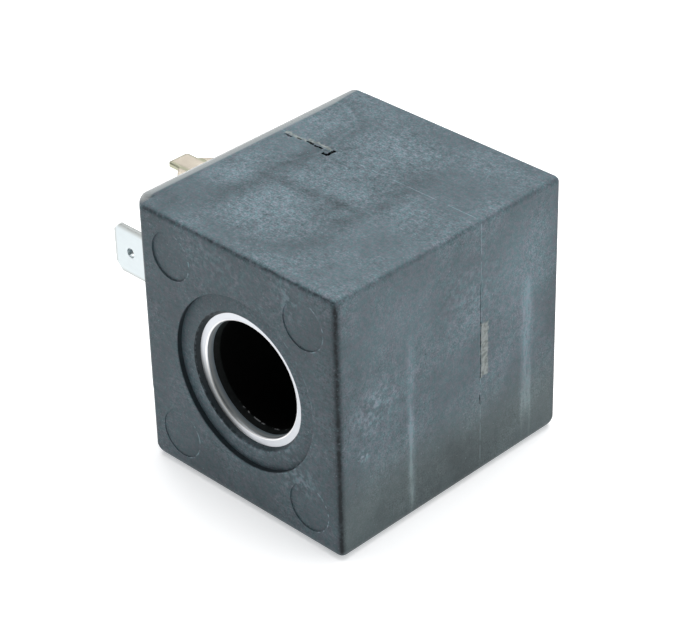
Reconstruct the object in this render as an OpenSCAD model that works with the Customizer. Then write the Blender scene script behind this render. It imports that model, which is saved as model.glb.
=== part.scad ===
// Encapsulated solenoid valve coil: a moulded block round a wound bobbin and its steel yoke.
// The bore runs along Y through a steel flux ring in each end face. Three blade terminals leave at -X.
// Origin on the bore's axis at mid-depth, +Z up, front face towards -Y, millimetres.

/* [Body] */
// Width of the moulded body, across the bore
body_w = 30; // [28:0.5:36]
// Depth of the moulded body, along the bore
body_d = 35; // [33:0.5:42]
// Height of the moulded body
body_h = 33; // [31:0.5:40]
// Offset of the bore from the middle of the width, away from the terminals
bore_shift = 0.6; // [0:0.1:1.2]
// Radius of the moulded edges
edge_r = 0.75; // [0.3:0.05:1.2]
// Radius of the edges round the bottom
foot_r = 1.3; // [0.5:0.1:1.8]
// Plastic above and below the yoke
web_cover = 2.3; // [1.9:0.1:3]
// Plastic over the yoke at each end face
face_cover = 1.8; // [1.5:0.1:2.2]

/* [End faces] */
// Diameter of the shallow recess round the bore
recess_d = 21; // [18.5:0.5:23]
// Depth of that recess
recess_depth = 0.7; // [0.3:0.1:0.9]
// How much the mouth in the recess widens, from the ring's face outwards
mouth_flare = 0.3; // [0.1:0.05:0.5]
// Diameter of the sunk ejector marks on the front face
mark_d = 5.8; // [4:0.1:6.4]
// Depth of the ejector marks
mark_depth = 0.2; // [0.1:0.05:0.4]
// Distance from an ejector mark's centre to the two edges nearest it
mark_inset = 4.9; // [4.2:0.1:5.5]

/* [Bore and flux rings] */
// Diameter of the bobbin's bore, which guides the armature tube
bore_d = 13.4; // [12.5:0.1:14]
// Length of the lead-in at each end of that bore
lead_in = 0.8; // [0.5:0.1:1.2]
// Extra radius of the rings' bore over the bobbin's
ring_relief = 0.2; // [0.1:0.05:0.3]
// Radius of the ring's inner edge
ring_edge_r = 0.3; // [0.2:0.05:0.5]
// Depth of the ring's face below the recess
ring_sunk = 0.4; // [0.2:0.05:0.5]
// Depth at which the ring's bore ends and the bobbin begins, below the end face
ring_land = 2.05; // [1.95:0.05:2.6]
// Width of the ring's face that the plastic leaves bare
ring_bare = 1; // [0.8:0.05:1.2]
// How far the ring reaches under the plastic round its mouth
seat_lap = 0.8; // [0.5:0.05:1]

/* [Yoke] */
// Width of the bracket and of the rear plate
yoke_w = 20; // [19:0.5:21]
// Thickness of the bracket and of the rear plate
yoke_t = 2; // [1.6:0.1:2.4]
// Width of the bracket's tenons in the rear plate
tenon_w = 10; // [6:0.5:14]
// Radius of the rear plate's corners
plate_corner_r = 1; // [0.5:0.1:2]
// Diameter of the rivet that holds the earth terminal
rivet_d = 1.6; // [1.2:0.1:2]
// How far the rivet's heads reach past its shank
rivet_lap = 0.7; // [0.4:0.1:1]
// Height of the rivet's heads
rivet_head_h = 0.7; // [0.4:0.1:1]
// Distance of the rivet from the yoke's edge
rivet_inset = 2.2; // [1.8:0.1:3]

/* [Bobbin and winding] */
// Wall of the bobbin's necks, inside the rings
neck_wall = 0.6; // [0.4:0.05:0.7]
// Wall of the bobbin's tube, under the winding
tube_wall = 0.9; // [0.7:0.05:1.2]
// Thickness of the bobbin's flanges
flange_t = 1.4; // [1.2:0.1:1.8]
// Gap between the flanges' rims and the yoke, which is also the yoke's inner bend radius
flange_gap = 0.4; // [0.2:0.05:0.7]
// Thickness of the insulating wrap over the winding
wrap_t = 0.5; // [0.2:0.05:0.8]
// Diameter of the lead wire
lead_d = 0.4; // [0.3:0.05:0.5]
// Outside diameter of the sleeves on the leads
sleeve_d = 0.9; // [0.8:0.05:1.2]
// Length of those sleeves
sleeve_l = 1.2; // [0.8:0.1:1.5]
// How far the inner lead runs past the flange before it turns to its terminal
lead_run = 0.6; // [0.4:0.1:1]
// Width of the strip over the inner lead
strip_w = 2; // [1.2:0.1:3]
// Thickness of that strip
strip_t = 0.15; // [0.1:0.05:0.2]
// Distance from the bobbin's tube to the strip's inner end, where the lead joins the winding
strip_gap = 1; // [0.8:0.1:1.5]
// Diameter of the solder beads
solder_d = 2.2; // [1.8:0.1:2.4]
// Height of the solder beads
solder_h = 2.4; // [2.2:0.1:3]
// Slack between pieces that slide together
slip = 0.05; // [0.02:0.01:0.1]

/* [Terminal boss] */
// Distance from the front face to the boss's near end
boss_near_gap = 2.1; // [1.2:0.1:3]
// Distance from the rear face to the boss's far end
boss_far_gap = 0.1; // [0.1:0.1:3]
// Height of the boss
boss_h = 28; // [26:0.5:30]
// How far the boss stands out of the body
boss_out = 2.6; // [1.8:0.1:3]
// How far the boss's top lies below the body's
boss_drop = 0.1; // [0.05:0.05:0.5]
// Radius of the boss's long outer edges
boss_r = 2.2; // [1:0.1:2.4]
// Radius of the edges at the boss's near end
boss_end_r = 1.2; // [0.6:0.1:1.6]
// How much the boss falls away towards its far end
boss_taper = 1.3; // [0.2:0.1:1.6]
// Length of that slope
boss_taper_l = 5.2; // [3:0.1:8]

/* [Terminals] */
// Width of a terminal blade
blade_w = 6.3; // [4.8:0.1:6.6]
// Thickness of a terminal blade
blade_t = 0.8; // [0.5:0.1:1]
// How far the blades stand out of the body
blade_reach = 13.3; // [11:0.1:15]
// Distance between the two mains blades
blade_pitch = 20; // [18:0.1:20.6]
// Depth of the mains blades' middle below the body's top
mains_drop = 13.9; // [13:0.1:15]
// Depth of the earth blade below the body's top
earth_drop = 7; // [6.4:0.1:7.6]
// Size of the chamfers on a mains blade's tip
tip_chamfer = 1; // [0.4:0.1:1.4]
// Width of the earth blade's nose
nose_w = 3.1; // [2.6:0.1:4]
// Length of that nose, before the blade widens
nose_l = 1.8; // [1.4:0.1:2.2]
// Size of the chamfers on the nose's corners
nose_chamfer = 0.3; // [0.1:0.05:0.6]
// How much a blade's tip is thinned on each face, to lead it in
tip_bevel = 0.2; // [0.1:0.05:0.25]
// Length of that bevel
tip_bevel_l = 0.8; // [0.5:0.1:1.2]
// Diameter of the locating hole in a blade
tip_hole_d = 1.2; // [0.8:0.1:1.8]
// Distance of that hole from a mains blade's tip
tip_hole_in = 2.9; // [2.4:0.1:4]
// Distance of that hole from the earth blade's tip
earth_hole_in = 4.2; // [3.8:0.1:5]
// Height of a mains terminal's shoulders above and below its blade
shoulder = 0.8; // [0.4:0.1:1]
// Width of a mains terminal's shoulders and wire tang
tang_w = 1; // [0.8:0.1:1.2]
// Length of the wire tang below the shoulders
tang_l = 3.6; // [3:0.1:4.2]
// Height of the lead's joint above the tang's end
joint_rise = 1; // [0.8:0.1:1.4]
// How much narrower a mains terminal's stem is than its blade, on each side
stem_inset = 1.15; // [0.8:0.05:1.5]
// How much narrower the earth terminal's foot is than its blade, on each side
foot_inset = 0.65; // [0.3:0.05:1]
// How far that foot reaches past the rivet's head
foot_margin = 0.7; // [0.3:0.1:1]
// Inside radius of the earth terminal's bends
earth_bend_r = 0.3; // [0.2:0.05:0.4]
// Gap between the wrapped winding and the terminal carrier
carrier_gap = 0.8; // [0.5:0.1:1.2]
// Thickness of the terminal carrier
carrier_t = 1.6; // [1.2:0.1:1.8]
// Rim of the carrier above and below the terminals' shoulders
carrier_rim = 0.7; // [0.4:0.1:1]
// Height of the tongues that the carrier slides in on
tongue_h = 3; // [2:0.1:4]
// How far the bobbin's lugs reach inside the flanges' rims
lug_root = 3; // [2:0.1:3.5]

/* [Hidden] */
$fn = 96;
arc_steps = 6;
wire_sides = 10;
overcut = 1;

// The body's faces, from the bore's axis
left_x = -body_w / 2 - bore_shift;
right_x = body_w / 2 - bore_shift;
front_y = -body_d / 2;
top_z = body_h / 2;

// The ring and the bobbin's neck inside it
bore_r = bore_d / 2;
ring_bore_r = bore_r + ring_relief;
mouth_foot_r = ring_bore_r + ring_bare;
mouth_r = mouth_foot_r + mouth_flare;
seat_r = mouth_foot_r + seat_lap;
ring_drop = recess_depth + ring_sunk;
neck_r = bore_r + neck_wall;
neck_seat_r = neck_r + slip;
neck_y = body_d / 2 - ring_land;
bore_end_y = neck_y - lead_in;

// The yoke's outer and inner faces
yoke_out_y = body_d / 2 - face_cover;
yoke_in_y = yoke_out_y - yoke_t;
yoke_out_z = top_z - web_cover;
yoke_in_z = yoke_out_z - yoke_t;
bend_out_r = flange_gap + yoke_t;

// The bobbin, the winding and its wrap, which ends flush with the flanges
flange_r = yoke_in_z - flange_gap;
flange_in_y = yoke_in_y - flange_t;
tube_r = bore_r + tube_wall;
winding_r = flange_r - wrap_t;

// The carrier between the bobbin's lugs, and the tongues that it slides in on
mains_z = top_z - mains_drop;
carrier_in_x = -flange_r - carrier_gap;
carrier_out_x = carrier_in_x - carrier_t;
carrier_h = blade_w + 2 * (shoulder + carrier_rim);
tongue_l = flange_t / 2 - slip;
lug_root_x = -flange_r + lug_root;

// The terminals
tip_x = left_x - blade_reach;
tang_x = carrier_out_x - tang_w;
stem_h = blade_w - 2 * stem_inset;
tang_end_z = mains_z - blade_w / 2 - shoulder - tang_l;
earth_z = top_z - earth_drop;
riser_x = carrier_in_x - blade_t;
foot_w = blade_w - 2 * foot_inset;
rivet_x = -yoke_w / 2 + rivet_inset;
rivet_head_r = rivet_d / 2 + rivet_lap;
foot_end_x = rivet_x + rivet_head_r + foot_margin;

// The leads: the inner end leaves by a groove in the front flange, the outer end through the wrap
lead_z = tang_end_z + joint_rise;
groove_w = lead_d + 4 * slip;
groove_d = lead_d + 2 * slip;
strip_start_r = tube_r + strip_gap;
groove_y = -flange_in_y - strip_t - groove_d / 2;
groove_turn = asin(lead_z / flange_r);
tang_mid_x = (carrier_out_x + tang_x) / 2;
start_route = [
    groove_point(tube_r + lead_d, -flange_in_y),
    groove_point(tube_r + lead_d, groove_y),
    groove_point(flange_r + lead_run, groove_y),
    [carrier_out_x, -blade_pitch / 2, lead_z]
];
finish_route = [
    [-sqrt(pow(winding_r, 2) - pow(lead_z, 2)) + lead_d, blade_pitch / 2, lead_z],
    [carrier_out_x, blade_pitch / 2, lead_z]
];

// A round stretch of an outline
function arc(centre, r, from, to) =
    [for (i = [0:arc_steps]) let (a = from + (to - from) * i / arc_steps) centre + r * [cos(a), sin(a)]];

// A rectangle with round corners, where the two low ones may differ
function round_rect(lo, hi, r, low_r) = let (q = is_undef(low_r) ? r : low_r) concat(
    arc([hi[0] - r, hi[1] - r], r, 0, 90),
    arc([lo[0] + r, hi[1] - r], r, 90, 180),
    arc([lo[0] + q, lo[1] + q], q, 180, 270),
    arc([hi[0] - q, lo[1] + q], q, 270, 360)
);

// A point in the flange's groove, which runs outwards and a little down on the terminals' side
function groove_point(r, y) = [-r * cos(groove_turn), y, r * sin(groove_turn)];

// The ring's section, as radius and depth below the end face
function ring_section() = concat(
    [[ring_bore_r, ring_land]],
    arc([ring_bore_r + ring_edge_r, ring_drop + ring_edge_r], ring_edge_r, 180, 270),
    [
        [seat_r, ring_drop], [seat_r, face_cover + yoke_t],
        [neck_seat_r, face_cover + yoke_t], [neck_seat_r, ring_land]
    ]
);

// The opening at each end of the bore, in the same terms: recess, tapered mouth and pocket for the ring
function end_opening() = [
    [0, -overcut], [recess_d / 2, -overcut], [recess_d / 2, recess_depth], [mouth_r, recess_depth],
    [mouth_foot_r, ring_drop], [seat_r, ring_drop], [seat_r, face_cover], [0, face_cover]
];

// A wire's direction along a leg, the plane of its mitre at a point, and its rings of points
function leg(route, i) = let (v = route[i + 1] - route[i]) v / norm(v);
function mitre(route, i) =
    i == len(route) - 1 ? leg(route, i - 1) :
    let (v = leg(route, i - 1) + leg(route, i)) v / norm(v);
function first_ring(route, r) =
    let (t = leg(route, 0), c = cross(t, [0, 0, 1]), u = c / norm(c), v = cross(t, u))
    [for (k = [0:wire_sides - 1]) let (a = 360 * k / wire_sides) route[0] + r * (cos(a) * u + sin(a) * v)];
function slide(ring, t, at, n) = [for (p = ring) p + t * ((at - p) * n) / (t * n)];
function rings(route, ring, i = 0) =
    i == len(route) - 1 ? [ring] :
    concat([ring], rings(route, slide(ring, leg(route, i), route[i + 1], mitre(route, i + 1)), i + 1));

// Extrusions along each axis. Their outlines are in YZ, XZ and XY.
module along_x(from, to) translate([from, 0, 0]) rotate([90, 0, 90]) linear_extrude(to - from) children();
module along_y(from, to) translate([0, to, 0]) rotate([90, 0, 0]) linear_extrude(to - from) children();
module along_z(from, to) translate([0, 0, from]) linear_extrude(to - from) children();

// A turned shape on the bore's axis, from an outline of radius and Y
module turned() rotate([-90, 0, 0]) rotate_extrude() children();

// A round bar on the bore's axis
module bar(r, from, to) along_y(from, to) circle(r);

// A block with all its edges rounded, those round the bottom by a radius of their own
module soft_block(lo, hi, r, low_r) intersection() {
    along_x(lo[0], hi[0]) polygon(round_rect([lo[1], lo[2]], [hi[1], hi[2]], r, low_r));
    along_y(lo[1], hi[1]) polygon(round_rect([lo[0], lo[2]], [hi[0], hi[2]], r, low_r));
    along_z(lo[2], hi[2]) polygon(round_rect([lo[0], lo[1]], [hi[0], hi[1]], r));
}

// A plain block between two corners
module block(lo, hi) translate(lo) cube(hi - lo);

// A wire along straight legs with mitred bends
module wire(route, d) {
    rows = rings(route, first_ring(route, d / 2));
    last = (len(rows) - 1) * wire_sides;
    walls = [
        for (i = [0:len(rows) - 2], k = [0:wire_sides - 1])
        let (n = (k + 1) % wire_sides, a = i * wire_sides, b = a + wire_sides)
        [a + k, b + k, b + n, a + n]
    ];
    ends = [
        [for (k = [0:wire_sides - 1]) k],
        [for (k = [0:wire_sides - 1]) last + wire_sides - 1 - k]
    ];
    polyhedron([for (row = rows) each row], concat(walls, ends));
}

// Both ends of the bore, made from the front one
module both_ends() {
    children();
    mirror([0, 1, 0]) children();
}

// What the plastic is moulded round
module core() {
    yoke_shape();
    bar(flange_r, -yoke_in_y, yoke_in_y);
    lugs();
    carrier_shape();
    mains_terminal(-1);
    mains_terminal(1);
    earth_shape();
    rivet_shape();
    wire(start_route, lead_d);
    wire(finish_route, lead_d);
    sleeve_shape(start_route);
    sleeve_shape(finish_route);
    solder_shape(-1);
    solder_shape(1);
}

// The moulded body: rounded block and boss, stepped round each end of the bore, marked by the ejectors
module housing() color([0.25, 0.28, 0.3]) difference() {
    union() {
        soft_block([left_x, front_y, -top_z], [right_x, -front_y, top_z], edge_r, foot_r);
        boss();
    }
    both_ends() translate([0, front_y, 0]) turned() polygon(end_opening());
    for (x = [left_x + mark_inset, right_x - mark_inset], z = [-1, 1] * (top_z - mark_inset))
        translate([x, 0, z]) bar(mark_d / 2, front_y - overcut, front_y + mark_depth);
    core();
}

// The raised pad that the blades leave through: round along its edges, sloping off at its far end
module boss() {
    high = top_z - boss_drop;
    low = high - boss_h;
    out_x = left_x - boss_out;
    root_x = left_x + boss_r + edge_r;
    near_y = front_y + boss_near_gap;
    far_y = -front_y - boss_far_gap;
    intersection() {
        along_x(out_x, root_x) polygon(concat(
            arc([far_y - edge_r, high - edge_r], edge_r, 0, 90),
            arc([near_y + boss_end_r, high - boss_end_r], boss_end_r, 90, 180),
            arc([near_y + boss_end_r, low + boss_end_r], boss_end_r, 180, 270),
            arc([far_y - edge_r, low + edge_r], edge_r, 270, 360)
        ));
        along_y(near_y, far_y) polygon(round_rect([out_x, low], [root_x, high], boss_r));
        along_z(low, high) polygon(concat(
            [[root_x, near_y], [root_x, far_y]],
            arc([out_x + boss_taper + edge_r, far_y - edge_r], edge_r, 90, 180),
            [[out_x, far_y - boss_taper_l]],
            arc([out_x + boss_end_r, near_y + boss_end_r], boss_end_r, 180, 270)
        ));
    }
}

// The solid outline of the bracket and of the plate that closes it
module yoke_shape() {
    bracket_bar();
    along_y(yoke_in_y, yoke_out_y) polygon(plate_outline());
}

// The bent bar of the bracket: front leg, top web and bottom web
module bracket_bar() along_x(-yoke_w / 2, yoke_w / 2) difference() {
    polygon(concat(
        [[yoke_in_y, -yoke_out_z], [yoke_in_y, yoke_out_z]],
        arc([-yoke_out_y + bend_out_r, yoke_out_z - bend_out_r], bend_out_r, 90, 180),
        arc([-yoke_out_y + bend_out_r, -yoke_out_z + bend_out_r], bend_out_r, 180, 270)
    ));
    polygon(concat(
        [[yoke_in_y + overcut, -yoke_in_z], [yoke_in_y + overcut, yoke_in_z]],
        arc([-yoke_in_y + flange_gap, yoke_in_z - flange_gap], flange_gap, 90, 180),
        arc([-yoke_in_y + flange_gap, -yoke_in_z + flange_gap], flange_gap, 180, 270)
    ));
}

function plate_outline() =
    round_rect([-yoke_w / 2, -yoke_out_z], [yoke_w / 2, yoke_out_z], plate_corner_r);

// The tenons that the rear plate is staked on, reaching past its edges where they cut its notches
module tenons(past = 0) for (side = [0, 1])
    mirror([0, 0, side]) block(
        [-tenon_w / 2, yoke_in_y - yoke_t, yoke_in_z],
        [tenon_w / 2, yoke_out_y + past, yoke_out_z + past]
    );

// Bracket bent from strip, bored for the front ring and drilled for the earth rivet
module yoke_bracket() color([0.62, 0.64, 0.66]) difference() {
    union() {
        bracket_bar();
        tenons();
    }
    bar(seat_r, -yoke_out_y - overcut, -yoke_in_y + overcut);
    translate([rivet_x, 0, yoke_in_z - overcut]) cylinder(d = rivet_d, h = yoke_t + 2 * overcut);
}

// Plate that closes the bracket, notched for its tenons and bored for the rear ring
module rear_flux_plate() color([0.55, 0.57, 0.6]) difference() {
    along_y(yoke_in_y, yoke_out_y) polygon(plate_outline());
    tenons(overcut);
    bar(seat_r, yoke_in_y - overcut, yoke_out_y + overcut);
}

// Turned steel rings with a rounded inner edge, pressed into the yoke at each end of the bore
module flux_ring() translate([0, front_y, 0]) turned() polygon(ring_section());
module front_flux_ring() color([0.8, 0.81, 0.82]) flux_ring();
module rear_flux_ring() color([0.8, 0.81, 0.82]) mirror([0, 1, 0]) flux_ring();

// The flanges' arms, which the terminal carrier slides between
module lugs() for (side = [-1, 1])
    translate([0, side * (yoke_in_y + flange_in_y) / 2, 0])
        along_y(-flange_t / 2, flange_t / 2)
            translate([carrier_out_x, mains_z - carrier_h / 2])
                square([lug_root_x - carrier_out_x, carrier_h]);

// Moulded bobbin: tube with a lead-in at each end, flanges, necks and lugs, and a groove for the inner lead
module bobbin() color([0.1, 0.1, 0.11]) difference() {
    union() {
        turned() polygon([
            [bore_r, -bore_end_y], [bore_r, bore_end_y], [ring_bore_r, neck_y],
            [neck_r, neck_y], [neck_r, yoke_in_y], [flange_r, yoke_in_y], [flange_r, flange_in_y],
            [tube_r, flange_in_y], [tube_r, -flange_in_y],
            [flange_r, -flange_in_y], [flange_r, -yoke_in_y], [neck_r, -yoke_in_y], [neck_r, -neck_y],
            [ring_bore_r, -neck_y]
        ]);
        lugs();
    }
    tongue_slots(slip);
    in_groove(tube_r, flange_r + overcut, groove_w, groove_y - groove_d / 2, -flange_in_y + overcut);
    in_groove(strip_start_r, flange_r + overcut, strip_w, -flange_in_y - strip_t, -flange_in_y + overcut);
}

// A block that lies along the groove, between two radii and two depths
module in_groove(from_r, to_r, w, from_y, to_y)
    rotate([0, 180 + groove_turn, 0]) block([from_r, from_y, -w / 2], [to_r, to_y, w / 2]);

// The tongues at the carrier's ends, grown by the slack to cut their slots
module tongue_slots(grow)
    block(
        [carrier_out_x - grow, -flange_in_y - tongue_l - grow, mains_z - tongue_h / 2 - grow],
        [carrier_in_x + grow, flange_in_y + tongue_l + grow, mains_z + tongue_h / 2 + grow]
    );

// Copper winding between the flanges
module winding() color([0.72, 0.4, 0.2]) difference() {
    bar(winding_r, -flange_in_y, flange_in_y);
    bar(tube_r, -flange_in_y - overcut, flange_in_y + overcut);
}

// Insulating wrap round the winding, pierced by the outer lead
module winding_wrap() color([0.82, 0.63, 0.2]) difference() {
    bar(flange_r, -flange_in_y, flange_in_y);
    bar(winding_r, -flange_in_y - overcut, flange_in_y + overcut);
    wire(finish_route, lead_d);
}

// Insulating strip that keeps the turns off the inner lead
module start_strip() color([0.9, 0.86, 0.7])
    intersection() {
        in_groove(strip_start_r, flange_r + overcut, strip_w, -flange_in_y - strip_t, -flange_in_y);
        bar(flange_r, -yoke_in_y, yoke_in_y);
    }

// Bar that the mains terminals are pressed through
module carrier_shape() {
    block(
        [carrier_out_x, -flange_in_y, mains_z - carrier_h / 2],
        [carrier_in_x, flange_in_y, mains_z + carrier_h / 2]
    );
    tongue_slots(0);
}
module terminal_carrier() color([0.14, 0.14, 0.15]) difference() {
    carrier_shape();
    mains_terminal(-1);
    mains_terminal(1);
}

// Flat stamping: blade, shoulders, stem through the carrier and wire tang. Front is side -1, rear is 1.
module mains_terminal(side)
    translate([0, side * blade_pitch / 2, 0]) intersection() {
        along_y(-blade_t / 2, blade_t / 2) mains_outline();
        along_z(tang_end_z - overcut, mains_z + blade_w) lead_in(carrier_in_x + overcut);
    }

// A mains terminal seen from the front
module mains_outline() translate([0, mains_z]) difference() {
    half = blade_w / 2;
    tang_end = tang_end_z - mains_z;
    polygon([
        [tip_x, -half + tip_chamfer], [tip_x, half - tip_chamfer], [tip_x + tip_chamfer, half],
        [tang_x, half], [tang_x, half + shoulder], [carrier_out_x, half + shoulder],
        [carrier_out_x, stem_h / 2], [carrier_in_x, stem_h / 2],
        [carrier_in_x, -stem_h / 2], [carrier_out_x, -stem_h / 2],
        [carrier_out_x, tang_end], [tang_x, tang_end], [tang_x, -half], [tip_x + tip_chamfer, -half]
    ]);
    translate([tip_x + tip_hole_in, 0]) circle(d = tip_hole_d);
}

// Wedge that thins a blade's tip: it opens at the bevel's slope, from the tip to past the blade's root
module lead_in(root_x) {
    tip_half = blade_t / 2 - tip_bevel;
    root_half = tip_half + (root_x - tip_x) * tip_bevel / tip_bevel_l;
    polygon([[tip_x, -tip_half], [root_x, -root_half], [root_x, root_half], [tip_x, tip_half]]);
}

module line_terminal() color([0.84, 0.85, 0.86]) mains_terminal(-1);
module neutral_terminal() color([0.84, 0.85, 0.86]) mains_terminal(1);

// Flat blade, bent up behind the boss and along the underside of the top web
module earth_shape() {
    bend_r = earth_bend_r + blade_t;
    half = blade_t / 2;
    low = [riser_x - earth_bend_r, earth_z + half + earth_bend_r];
    high = [riser_x + bend_r, yoke_in_z - bend_r];
    intersection() {
        along_y(-blade_w / 2, blade_w / 2) polygon(concat(
            [[tip_x, earth_z - half + tip_bevel], [tip_x + tip_bevel_l, earth_z - half]],
            arc(low, bend_r, 270, 360),
            arc(high, earth_bend_r, 180, 90),
            [[foot_end_x, yoke_in_z - blade_t], [foot_end_x, yoke_in_z]],
            arc(high, bend_r, 90, 180),
            arc(low, earth_bend_r, 360, 270),
            [[tip_x + tip_bevel_l, earth_z + half], [tip_x, earth_z + half - tip_bevel]]
        ));
        along_z(earth_z - blade_t, yoke_in_z + overcut) earth_plan();
    }
}

// The earth terminal seen from above: narrow nose, locating hole, narrower foot
module earth_plan() difference() {
    half = blade_w / 2;
    nose = nose_w / 2;
    wide_x = tip_x + nose_l + half - nose;
    polygon([
        [tip_x, -nose + nose_chamfer], [tip_x + nose_chamfer, -nose], [tip_x + nose_l, -nose],
        [wide_x, -half], [riser_x, -half], [riser_x, -foot_w / 2],
        [foot_end_x, -foot_w / 2], [foot_end_x, foot_w / 2],
        [riser_x, foot_w / 2], [riser_x, half], [wide_x, half],
        [tip_x + nose_l, nose], [tip_x + nose_chamfer, nose], [tip_x, nose - nose_chamfer]
    ]);
    translate([tip_x + earth_hole_in, 0]) circle(d = tip_hole_d);
}
module earth_terminal() color([0.8, 0.71, 0.47]) difference() {
    earth_shape();
    rivet_shape();
}

// Rivet through the earth terminal's foot and the top web, with a head at each end
module rivet_shape() {
    low = yoke_in_z - blade_t;
    chamfer = rivet_head_h / 2;
    translate([rivet_x, 0, 0]) rotate_extrude() polygon([
        [0, low - rivet_head_h], [rivet_head_r - chamfer, low - rivet_head_h],
        [rivet_head_r, low - chamfer], [rivet_head_r, low], [rivet_d / 2, low],
        [rivet_d / 2, yoke_out_z], [rivet_head_r, yoke_out_z],
        [rivet_head_r, yoke_out_z + chamfer],
        [rivet_head_r - chamfer, yoke_out_z + rivet_head_h], [0, yoke_out_z + rivet_head_h]
    ]);
}
module earth_rivet() color([0.7, 0.72, 0.74]) rivet_shape();

// The two ends of the winding wire
module start_lead() color([0.75, 0.42, 0.22]) difference() {
    wire(start_route, lead_d);
    mains_terminal(-1);
}
module finish_lead() color([0.75, 0.42, 0.22]) difference() {
    wire(finish_route, lead_d);
    bar(winding_r, -flange_in_y, flange_in_y);
}

// Sleeve over the last leg of a lead, from clear of the wrap to clear of the solder
module sleeve_shape(route) {
    end = route[len(route) - 1];
    back = -leg(route, len(route) - 2);
    near = solder_d / 2;
    far = near + sleeve_l;
    wire([end + far * back, end + near * back], sleeve_d);
}
module start_sleeve() color([0.92, 0.9, 0.84]) difference() {
    sleeve_shape(start_route);
    wire(start_route, lead_d);
}
module finish_sleeve() color([0.92, 0.9, 0.84]) difference() {
    sleeve_shape(finish_route);
    wire(finish_route, lead_d);
}

// Bead of solder round a tang's end and the lead that meets it
module solder_shape(side) {
    r = solder_d / 2;
    translate([tang_mid_x, side * blade_pitch / 2, lead_z]) rotate_extrude() polygon(concat(
        arc([0, r - solder_h / 2], r, -90, 0),
        arc([0, solder_h / 2 - r], r, 0, 90)
    ));
}
module start_solder() color([0.68, 0.69, 0.7]) difference() {
    solder_shape(-1);
    mains_terminal(-1);
    wire(start_route, lead_d);
}
module finish_solder() color([0.68, 0.69, 0.7]) difference() {
    solder_shape(1);
    mains_terminal(1);
    wire(finish_route, lead_d);
}

housing();
yoke_bracket();
rear_flux_plate();
front_flux_ring();
rear_flux_ring();
bobbin();
winding();
winding_wrap();
start_strip();
terminal_carrier();
line_terminal();
neutral_terminal();
earth_terminal();
earth_rivet();
start_lead();
finish_lead();
start_sleeve();
finish_sleeve();
start_solder();
finish_solder();
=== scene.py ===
import functools
import math
import random

import bmesh
import bpy
from mathutils import Matrix, Vector


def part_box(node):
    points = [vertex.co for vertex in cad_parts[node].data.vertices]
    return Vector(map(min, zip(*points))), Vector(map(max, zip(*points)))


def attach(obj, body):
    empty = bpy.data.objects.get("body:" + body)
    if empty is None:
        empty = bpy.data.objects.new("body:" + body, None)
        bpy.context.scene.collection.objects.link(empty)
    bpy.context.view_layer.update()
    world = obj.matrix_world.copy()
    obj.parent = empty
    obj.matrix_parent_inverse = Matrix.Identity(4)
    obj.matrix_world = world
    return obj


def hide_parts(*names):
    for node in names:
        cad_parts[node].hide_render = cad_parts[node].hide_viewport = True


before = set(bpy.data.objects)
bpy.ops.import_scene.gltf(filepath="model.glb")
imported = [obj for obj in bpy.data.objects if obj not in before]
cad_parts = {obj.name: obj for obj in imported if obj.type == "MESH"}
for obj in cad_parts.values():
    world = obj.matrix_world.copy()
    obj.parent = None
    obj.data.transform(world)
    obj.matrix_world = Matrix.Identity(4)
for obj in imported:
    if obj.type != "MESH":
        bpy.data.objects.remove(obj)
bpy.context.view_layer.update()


# The bobbin is the spool that the coil is wound on, moulded in black glass-filled nylon. Its tube lines the
# bore between the two steel rings, so a dull dark band of it shows inside the mouth. Deeper in it is painted
# near black as shade, and pale specks painted low on its end are a painted glint.
mm = 0.001
bore_end = 14.65 * mm
nylon_dark = (0.003, 0.004, 0.004, 1)
nylon_light = (0.022, 0.025, 0.025, 1)
bore_shade_black = (0.0008, 0.0008, 0.0009, 1)
glint_grey = (0.35, 0.36, 0.37, 1)


def feed(socket, value):
    """Links a socket to another one, or sets its value."""
    if isinstance(value, bpy.types.NodeSocket):
        socket.id_data.links.new(value, socket)
    else:
        socket.default_value = value


def add(tree, kind, settings=None, **inputs):
    """A new shader node, with its settings and inputs filled in."""
    node = tree.nodes.new("ShaderNode" + kind)
    for name, value in (settings or {}).items():
        setattr(node, name, value)
    for name, value in inputs.items():
        feed(node.inputs[name.replace("_", " ")], value)
    return node


def step(kind, operation, values):
    """A node for one step of arithmetic, on values of which at least one is a socket."""
    tree = next(value.id_data for value in values if isinstance(value, bpy.types.NodeSocket))
    node = add(tree, kind, {"operation": operation})
    for socket, value in zip(node.inputs, values):
        feed(socket, value)
    return node


def compute(operation, *values):
    """One step of arithmetic on numbers."""
    return step("Math", operation, values).outputs["Value"]


def times(*shares):
    """The product of some shares."""
    return functools.reduce(lambda product, share: compute("MULTIPLY", product, share), shares)


def away(value, middle):
    """Distance of a value from a middle."""
    return compute("ABSOLUTE", compute("SUBTRACT", value, middle))


def ease(value, start, end):
    """Rises smoothly from 0 at start to 1 at end."""
    settings = {"interpolation_type": "SMOOTHSTEP"}
    rise = add(value.id_data, "MapRange", settings, Value=value, From_Min=start, From_Max=end)
    return rise.outputs["Result"]


def between(share, low, high):
    """A number from low, where share is 0, to high, where it is 1."""
    return add(share.id_data, "MapRange", Value=share, To_Min=low, To_Max=high).outputs["Result"]


def noise(place, scale, detail=3.0):
    """Cloudy noise with about that many spots per millimetre."""
    return add(place.id_data, "TexNoise", Vector=place, Scale=scale, Detail=detail).outputs["Fac"]


def mix(share, first, second):
    """A colour from first, where share is 0, to second, where it is 1."""
    node = add(share.id_data, "Mix", {"data_type": "RGBA"})
    sockets = {socket.identifier: socket for socket in (*node.inputs, *node.outputs)}
    feed(sockets["Factor_Float"], share)
    feed(sockets["A_Color"], first)
    feed(sockets["B_Color"], second)
    return sockets["Result_Color"]


def axes_of(place):
    """The coordinates of a place, one by one."""
    return add(place.id_data, "SeparateXYZ", Vector=place).outputs


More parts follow.
